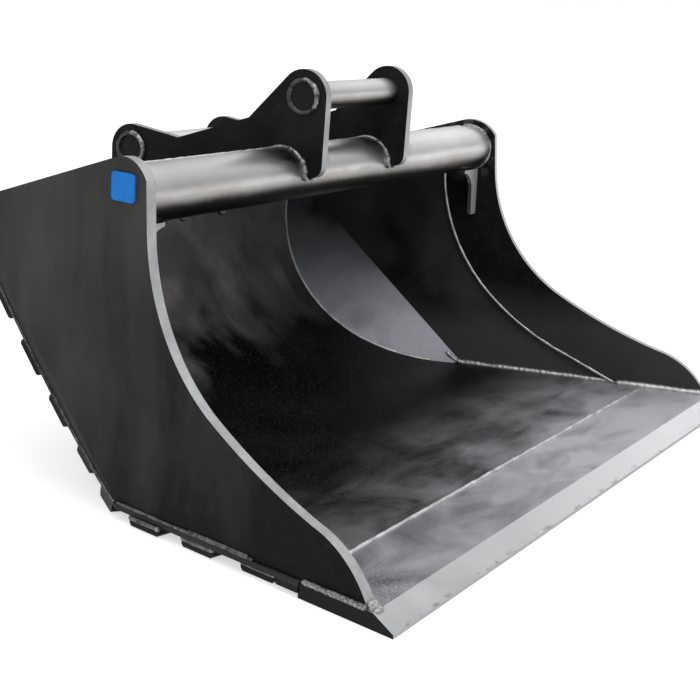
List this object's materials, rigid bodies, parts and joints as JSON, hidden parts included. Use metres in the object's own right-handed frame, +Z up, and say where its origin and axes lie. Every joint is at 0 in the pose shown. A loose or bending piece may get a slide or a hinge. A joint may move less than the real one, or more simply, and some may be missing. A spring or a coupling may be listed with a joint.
{
  "type": "excavator bucket",
  "caption": "Wide welded steel ditching bucket for a small excavator, with a torque tube, a two-pin hitch, a flat cutting edge and wear blocks.",
  "frame": {"origin": "on the ground under the middle of the bucket's bounding box, with the bucket resting on its cutting edge and floor blocks", "axes": "+Z up, +X along the torque tube across the width, the open mouth and the cutting edge towards -Y, the rolled back towards +Y"},
  "size_m": [1.8096, 1.2303, 0.8445],
  "materials": {
    "dark_plate": "satin dark primer over rolled plate, bare light metal on the cut edges",
    "plate_steel": "dark mill scale worn to bare steel in smudges",
    "bright_steel": "clean drawn tube and turned pins, satin",
    "weld_metal": "rippled weld beads, satin grey",
    "badge_blue": "plain blue, satin"
  },
  "bodies": {
    "root": {"back_block_1_left": "plate_steel", "back_block_1_right": "plate_steel", "back_block_2_left": "plate_steel", "back_block_2_right": "plate_steel", "back_block_3_left": "plate_steel", "back_block_3_right": "plate_steel", "back_block_4_left": "plate_steel", "back_block_4_right": "plate_steel", "back_block_5_left": "plate_steel", "back_block_5_right": "plate_steel", "back_block_6_left": "plate_steel", "back_block_6_right": "plate_steel", "badge_plate": "badge_blue", "cutting_edge": "plate_steel", "edge_filler_left": "dark_plate", "edge_filler_right": "dark_plate", "floor_back_sheet": "plate_steel", "floor_block_1_left": "plate_steel", "floor_block_1_right": "plate_steel", "floor_block_2_left": "plate_steel", "floor_block_2_right": "plate_steel", "floor_block_3_left": "plate_steel", "floor_block_3_right": "plate_steel", "front_pin": "bright_steel", "hitch_ear_left": "dark_plate", "hitch_ear_right": "dark_plate", "rear_pin": "bright_steel", "side_edge_left": "dark_plate", "side_edge_right": "dark_plate", "side_plate_left": "dark_plate", "side_plate_right": "dark_plate", "top_sheet": "plate_steel", "torque_tube": "bright_steel", "tube_bracket_left": "dark_plate", "tube_bracket_right": "dark_plate", "weld_blade": "weld_metal", "weld_corner_left": "weld_metal", "weld_corner_right": "weld_metal", "weld_ear_left": "weld_metal", "weld_ear_right": "weld_metal", "weld_floor_left": "weld_metal", "weld_floor_right": "weld_metal", "weld_front_pin_left": "weld_metal", "weld_front_pin_right": "weld_metal", "weld_rear_pin_left": "weld_metal", "weld_rear_pin_right": "weld_metal", "weld_stitch_1": "weld_metal", "weld_stitch_2": "weld_metal", "weld_stitch_3": "weld_metal", "weld_tube_left": "weld_metal", "weld_tube_right": "weld_metal"}
  },
  "joints": []
}
